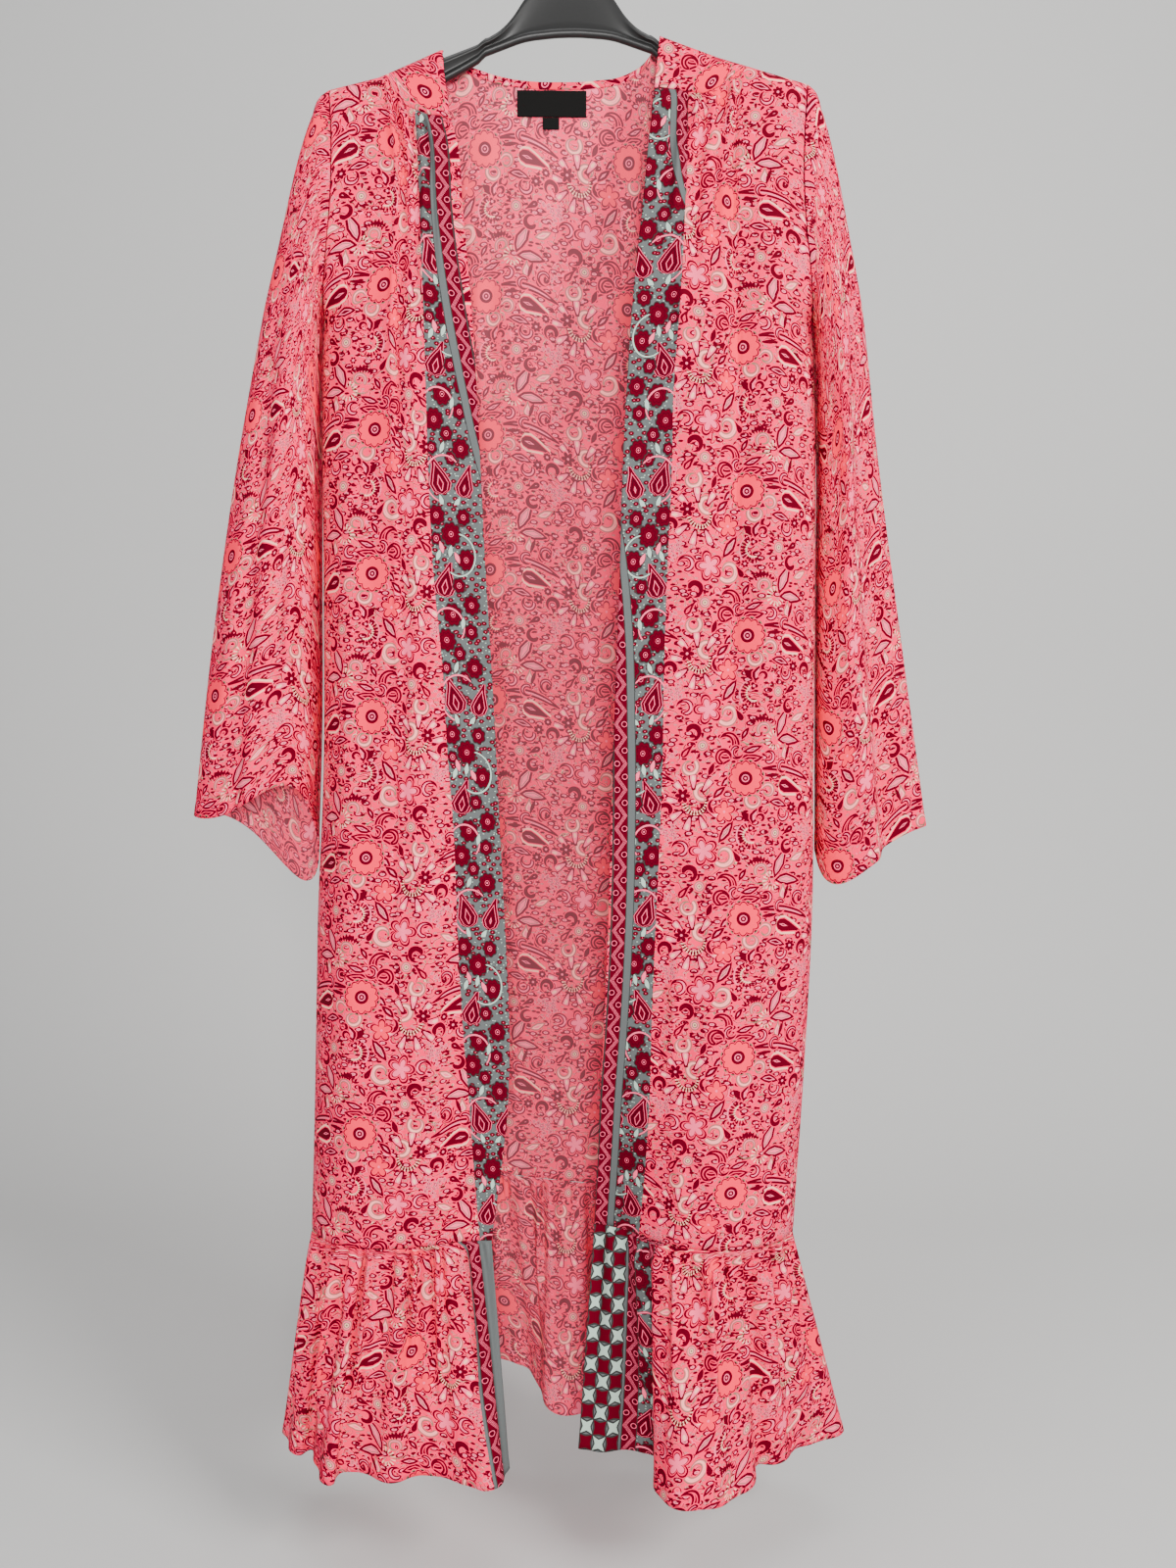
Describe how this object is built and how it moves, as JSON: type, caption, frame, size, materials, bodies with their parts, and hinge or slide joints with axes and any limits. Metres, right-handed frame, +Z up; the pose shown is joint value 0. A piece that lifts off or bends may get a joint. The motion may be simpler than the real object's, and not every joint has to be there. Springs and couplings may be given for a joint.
{
  "type": "kimono coat on a hanger",
  "caption": "Long open kimono coat in light printed cloth with wide sleeves and a gathered ruffle at the hem, hung on a broad plastic hanger with a metal hook.",
  "frame": {"origin": "inner crown of the hanger's hook, where a rail touches it", "axes": "+Z up, the coat's front faces -Y, +X is the wearer's left"},
  "size_m": [0.6419, 0.2079, 1.3395],
  "materials": {
    "cloth": "light printed crepe, pink paisley, matte",
    "back_cloth": "same cloth, its paler inside showing",
    "label": "plain black woven ribbon",
    "hanger": "satin black with a glossy rim",
    "hook": "plain wire"
  },
  "bodies": {
    "root": {"back": "back_cloth", "front_right": "cloth", "front_left": "cloth", "yoke_right": "cloth", "yoke_left": "cloth", "sleeve_right": "cloth", "sleeve_left": "cloth", "ruffle_front_right": "cloth", "ruffle_front_left": "cloth", "ruffle_back": "back_cloth", "neck_binding": "cloth", "neck_label": "label", "size_tab": "label", "hanger_body": "hanger", "hanger_hook": "hook"}
  },
  "joints": []
}
